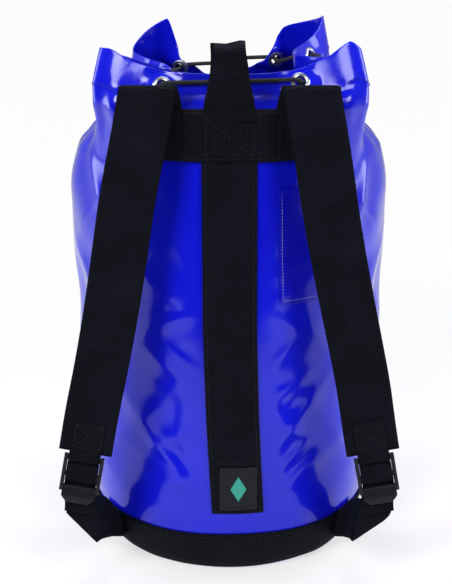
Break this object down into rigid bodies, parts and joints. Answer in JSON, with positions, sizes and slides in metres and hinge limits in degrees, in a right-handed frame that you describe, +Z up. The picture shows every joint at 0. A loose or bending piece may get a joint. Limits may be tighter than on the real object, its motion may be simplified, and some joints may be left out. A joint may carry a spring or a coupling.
{
  "type": "rope storage bag",
  "caption": "Cylindrical tarpaulin rope bag with a drawcord mouth, webbing shoulder straps with ladder-lock adjusters, haul loop and base binding.",
  "frame": {"origin": "centre of the round base, on the floor", "axes": "+Z up along the tube, -Y towards the side that carries the harness, +X to the right as seen facing the harness"},
  "size_m": [0.3264, 0.3392, 0.5305],
  "materials": {
    "pvc_blue": "coated tarpaulin, glossy",
    "pvc_base": "coated tarpaulin, glossy",
    "pvc_pocket": "coated tarpaulin, semi-gloss",
    "webbing_wide": "woven, matte",
    "webbing_narrow": "woven, matte",
    "moulded_plastic": "satin",
    "button_plastic": "satin",
    "spring_steel": "bright",
    "eyelet_metal": "satin",
    "braided_cord": "braided",
    "patch_rubber": "matte",
    "patch_raised": "matte"
  },
  "bodies": {
    "bag": {"body_shell": "pvc_blue", "base_panel": "pvc_base", "base_binding": "webbing_wide", "back_strip": "webbing_wide", "top_band": "webbing_wide", "strap_root_left": "webbing_wide", "strap_root_right": "webbing_wide", "document_pocket": "pvc_pocket", "label_patch": "patch_rubber", "patch_lozenge": "patch_raised", "eyelets": "eyelet_metal", "eyelet_washers": "eyelet_metal", "drawcord": "braided_cord", "cord_end_knots": "braided_cord"},
    "haul_loop": {"haul_loop": "webbing_wide"},
    "strap_left": {"shoulder_strap_left": "webbing_wide", "buckle_loop_left": "webbing_narrow"},
    "strap_right": {"shoulder_strap_right": "webbing_wide", "buckle_loop_right": "webbing_narrow"},
    "buckle_left": {"ladder_lock_left": "moulded_plastic", "adjuster_webbing_left": "webbing_narrow"},
    "buckle_right": {"ladder_lock_right": "moulded_plastic", "adjuster_webbing_right": "webbing_narrow"},
    "lower_left": {"lower_webbing_left": "webbing_narrow"},
    "lower_right": {"lower_webbing_right": "webbing_narrow"},
    "cord_lock": {"cord_lock_body": "moulded_plastic", "cord_lock_spring": "spring_steel"},
    "cord_button": {"cord_lock_button": "button_plastic"}
  },
  "joints": [
    {"name": "haul_loop_flop", "type": "hinge", "parent": "bag", "child": "haul_loop", "pos_m": [0, -0.1417, 0.4695], "axis": [1, 0, 0], "range_deg": [-14, 70]},
    {"name": "left_strap_swing", "type": "hinge", "parent": "bag", "child": "strap_left", "pos_m": [0, -0.1366, 0.4685], "axis": [-1, 0, 0], "range_deg": [0, 5]},
    {"name": "right_strap_swing", "type": "hinge", "parent": "bag", "child": "strap_right", "pos_m": [0, -0.1366, 0.4685], "axis": [-1, 0, 0], "range_deg": [0, 5]},
    {"name": "left_buckle_tilt", "type": "hinge", "parent": "strap_left", "child": "buckle_left", "pos_m": [-0.1363, -0.1667, 0.1398], "axis": [-0.983, 0, 0.1835], "range_deg": [0, 40]},
    {"name": "right_buckle_tilt", "type": "hinge", "parent": "strap_right", "child": "buckle_right", "pos_m": [0.1363, -0.1667, 0.1398], "axis": [-0.983, 0, -0.1835], "range_deg": [0, 40]},
    {"name": "left_lower_swing", "type": "hinge", "parent": "bag", "child": "lower_left", "pos_m": [-0.112, -0.095, 0.031], "axis": [1, 0, 0], "range_deg": [0, 12]},
    {"name": "right_lower_swing", "type": "hinge", "parent": "bag", "child": "lower_right", "pos_m": [0.112, -0.095, 0.031], "axis": [1, 0, 0], "range_deg": [0, 12]},
    {"name": "cord_lock_slide", "type": "slide", "parent": "bag", "child": "cord_lock", "axis": [0, 0, 1], "range_m": [-0.04, 0.01]},
    {"name": "cord_lock_press", "type": "slide", "parent": "cord_lock", "child": "cord_button", "axis": [-1, 0, 0], "range_m": [0, 0.004], "stiffness_N_per_m": 600, "springref_m": -0.004, "deforming": ["cord_lock_spring"]}
  ],
  "couplings": [
    {"joint": "left_lower_swing", "follows": "left_strap_swing", "ratio": 2.4},
    {"joint": "right_lower_swing", "follows": "right_strap_swing", "ratio": 2.4}
  ]
}
